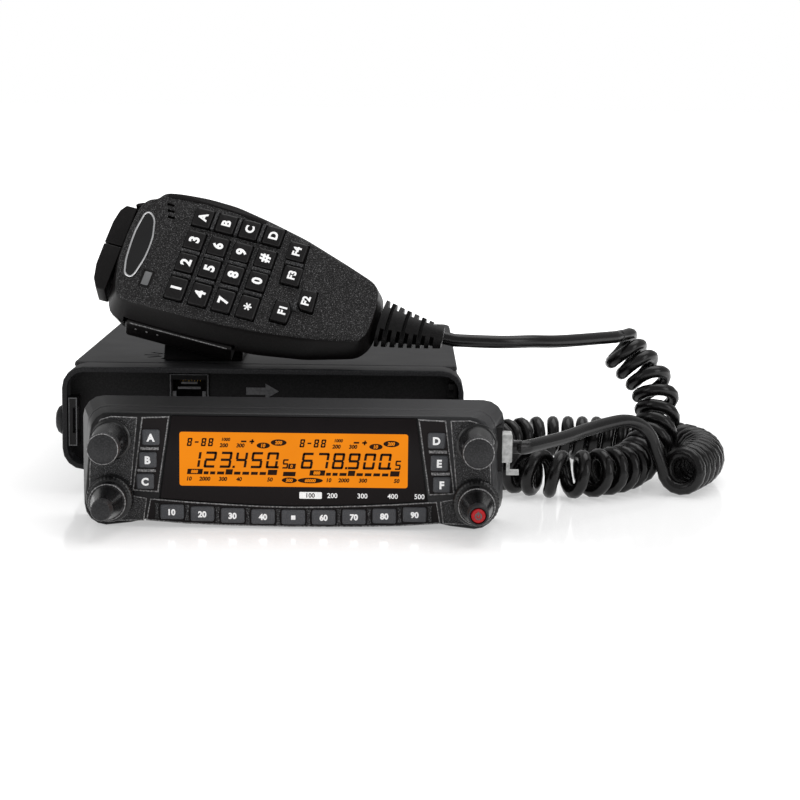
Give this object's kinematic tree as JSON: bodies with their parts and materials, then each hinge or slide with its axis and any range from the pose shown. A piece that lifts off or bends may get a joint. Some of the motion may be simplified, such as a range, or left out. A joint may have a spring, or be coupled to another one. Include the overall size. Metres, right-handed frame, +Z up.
{
  "type": "mobile transceiver",
  "caption": "Mobile radio transceiver: finned body with a detachable control head, amber display, keys and knobs, and a hand microphone on a curly cord.",
  "frame": {"origin": "on the floor, in the middle of the flat pad under the radio body", "axes": "+X to the right of someone facing the front, +Y to the back of the body, +Z up"},
  "size_m": [0.2382, 0.2413, 0.1039],
  "materials": {
    "cast_case": "black painted cast aluminium",
    "textured_case": "fine textured black paint",
    "black_moulding": "moulded black",
    "circuit_board": "green solder mask",
    "speaker_cone": "paper cone in a steel basket",
    "plated_metal": "bright plating",
    "bent_steel": "brushed",
    "head_shell": "satin moulded plastic with fine sparkle",
    "smoked_window": "polished smoked window",
    "amber_display": "backlit amber display",
    "grey_keys": "satin translucent grey",
    "knob_rubber": "matt soft-touch rubber",
    "red_button": "glossy red",
    "mic_shell": "spark-eroded texture",
    "mic_buttons": "smooth silicone",
    "boot_rubber": "matt",
    "cord_jacket": "satin",
    "clear_plug": "clear moulding"
  },
  "bodies": {
    "body": {"chassis": "cast_case", "top_cover": "textured_case", "front_bezel": "textured_case", "head_jack": "black_moulding", "main_board": "circuit_board", "speaker": "speaker_cone", "antenna_socket": "plated_metal", "power_inlet": "black_moulding", "mic_hanger": "bent_steel", "hanger_screw_left": "bent_steel", "hanger_screw_right": "bent_steel", "cord_coil": "cord_jacket", "cord_mic_lead": "cord_jacket", "cord_head_lead": "cord_jacket"},
    "latch": {"head_latch": "black_moulding"},
    "head": {"head_front": "head_shell", "head_rear": "head_shell", "display_window": "smoked_window", "display_panel": "amber_display", "head_board": "circuit_board", "mic_jack": "black_moulding", "cord_plug": "clear_plug"},
    "microphone": {"mic_front": "mic_shell", "mic_rear": "mic_shell", "mic_keypad": "mic_buttons", "mic_board": "circuit_board", "mic_capsule": "plated_metal", "strain_relief": "boot_rubber"},
    "bottom_key_1": {"bottom_key_1": "grey_keys"},
    "bottom_key_2": {"bottom_key_2": "grey_keys"},
    "bottom_key_3": {"bottom_key_3": "grey_keys"},
    "bottom_key_4": {"bottom_key_4": "grey_keys"},
    "bottom_key_5": {"bottom_key_5": "grey_keys"},
    "bottom_key_6": {"bottom_key_6": "grey_keys"},
    "bottom_key_7": {"bottom_key_7": "grey_keys"},
    "bottom_key_8": {"bottom_key_8": "grey_keys"},
    "bottom_key_9": {"bottom_key_9": "grey_keys"},
    "left_key_a": {"left_key_a": "grey_keys"},
    "left_key_b": {"left_key_b": "grey_keys"},
    "left_key_c": {"left_key_c": "grey_keys"},
    "right_key_d": {"right_key_d": "grey_keys"},
    "right_key_e": {"right_key_e": "grey_keys"},
    "right_key_f": {"right_key_f": "grey_keys"},
    "left_dial": {"left_dial": "knob_rubber"},
    "right_dial": {"right_dial": "knob_rubber"},
    "left_squelch_ring": {"left_squelch_ring": "knob_rubber"},
    "right_squelch_ring": {"right_squelch_ring": "knob_rubber"},
    "left_volume_knob": {"left_volume_knob": "knob_rubber"},
    "right_volume_knob": {"right_volume_knob": "knob_rubber"},
    "power_button": {"power_button": "red_button"},
    "talk_bar": {"talk_bar": "mic_buttons"},
    "up_button": {"up_button": "mic_buttons"},
    "down_button": {"down_button": "mic_buttons"}
  },
  "joints": [
    {"name": "latch_release", "type": "slide", "parent": "body", "child": "latch", "axis": [1, 0, 0], "range_m": [0, 0.0015], "stiffness_N_per_m": 300},
    {"name": "head_dock", "type": "slide", "parent": "body", "child": "head", "axis": [-0.3523, 0.916, 0.1917], "range_m": [0, 0.03548]},
    {"name": "bottom_key_1_press", "type": "slide", "parent": "head", "child": "bottom_key_1", "axis": [0, 1, 0], "range_m": [0, 0.0008], "stiffness_N_per_m": 400},
    {"name": "bottom_key_2_press", "type": "slide", "parent": "head", "child": "bottom_key_2", "axis": [0, 1, 0], "range_m": [0, 0.0008], "stiffness_N_per_m": 400},
    {"name": "bottom_key_3_press", "type": "slide", "parent": "head", "child": "bottom_key_3", "axis": [0, 1, 0], "range_m": [0, 0.0008], "stiffness_N_per_m": 400},
    {"name": "bottom_key_4_press", "type": "slide", "parent": "head", "child": "bottom_key_4", "axis": [0, 1, 0], "range_m": [0, 0.0008], "stiffness_N_per_m": 400},
    {"name": "bottom_key_5_press", "type": "slide", "parent": "head", "child": "bottom_key_5", "axis": [0, 1, 0], "range_m": [0, 0.0008], "stiffness_N_per_m": 400},
    {"name": "bottom_key_6_press", "type": "slide", "parent": "head", "child": "bottom_key_6", "axis": [0, 1, 0], "range_m": [0, 0.0008], "stiffness_N_per_m": 400},
    {"name": "bottom_key_7_press", "type": "slide", "parent": "head", "child": "bottom_key_7", "axis": [0, 1, 0], "range_m": [0, 0.0008], "stiffness_N_per_m": 400},
    {"name": "bottom_key_8_press", "type": "slide", "parent": "head", "child": "bottom_key_8", "axis": [0, 1, 0], "range_m": [0, 0.0008], "stiffness_N_per_m": 400},
    {"name": "bottom_key_9_press", "type": "slide", "parent": "head", "child": "bottom_key_9", "axis": [0, 1, 0], "range_m": [0, 0.0008], "stiffness_N_per_m": 400},
    {"name": "left_key_a_press", "type": "slide", "parent": "head", "child": "left_key_a", "axis": [0, 1, 0], "range_m": [0, 0.0008], "stiffness_N_per_m": 400},
    {"name": "left_key_b_press", "type": "slide", "parent": "head", "child": "left_key_b", "axis": [0, 1, 0], "range_m": [0, 0.0008], "stiffness_N_per_m": 400},
    {"name": "left_key_c_press", "type": "slide", "parent": "head", "child": "left_key_c", "axis": [0, 1, 0], "range_m": [0, 0.0008], "stiffness_N_per_m": 400},
    {"name": "right_key_d_press", "type": "slide", "parent": "head", "child": "right_key_d", "axis": [0, 1, 0], "range_m": [0, 0.0008], "stiffness_N_per_m": 400},
    {"name": "right_key_e_press", "type": "slide", "parent": "head", "child": "right_key_e", "axis": [0, 1, 0], "range_m": [0, 0.0008], "stiffness_N_per_m": 400},
    {"name": "right_key_f_press", "type": "slide", "parent": "head", "child": "right_key_f", "axis": [0, 1, 0], "range_m": [0, 0.0008], "stiffness_N_per_m": 400},
    {"name": "left_dial_turn", "type": "hinge", "parent": "head", "child": "left_dial", "pos_m": [-0.0456, -0.128, 0.0287], "axis": [0, 1, 0], "continuous": true},
    {"name": "left_squelch_turn", "type": "hinge", "parent": "head", "child": "left_squelch_ring", "pos_m": [-0.0456, -0.128, 0.0098], "axis": [0, 1, 0], "range_deg": [-140, 140]},
    {"name": "left_volume_turn", "type": "hinge", "parent": "head", "child": "left_volume_knob", "pos_m": [-0.0456, -0.128, 0.0098], "axis": [0, 1, 0], "range_deg": [-140, 140]},
    {"name": "right_dial_turn", "type": "hinge", "parent": "head", "child": "right_dial", "pos_m": [0.0728, -0.128, 0.0287], "axis": [0, 1, 0], "continuous": true},
    {"name": "right_squelch_turn", "type": "hinge", "parent": "head", "child": "right_squelch_ring", "pos_m": [0.0728, -0.128, 0.0098], "axis": [0, 1, 0], "range_deg": [-140, 140]},
    {"name": "right_volume_turn", "type": "hinge", "parent": "head", "child": "right_volume_knob", "pos_m": [0.0728, -0.128, 0.0098], "axis": [0, 1, 0], "range_deg": [-140, 140]},
    {"name": "power_press", "type": "slide", "parent": "right_volume_knob", "child": "power_button", "axis": [0, 1, 0], "range_m": [0, 0.0008], "stiffness_N_per_m": 400},
    {"name": "mic_lift", "type": "slide", "parent": "body", "child": "microphone", "axis": [0, 0.5534, 0.8329], "range_m": [0, 0.03]},
    {"name": "talk_press", "type": "slide", "parent": "microphone", "child": "talk_bar", "axis": [0.2706, 0.5327, 0.8018], "range_m": [0, 0.001], "stiffness_N_per_m": 600},
    {"name": "up_press", "type": "slide", "parent": "microphone", "child": "up_button", "axis": [0.9627, -0.1497, -0.2254], "range_m": [0, 0.001], "stiffness_N_per_m": 500},
    {"name": "down_press", "type": "slide", "parent": "microphone", "child": "down_button", "axis": [0.9627, -0.1497, -0.2254], "range_m": [0, 0.001], "stiffness_N_per_m": 500}
  ]
}
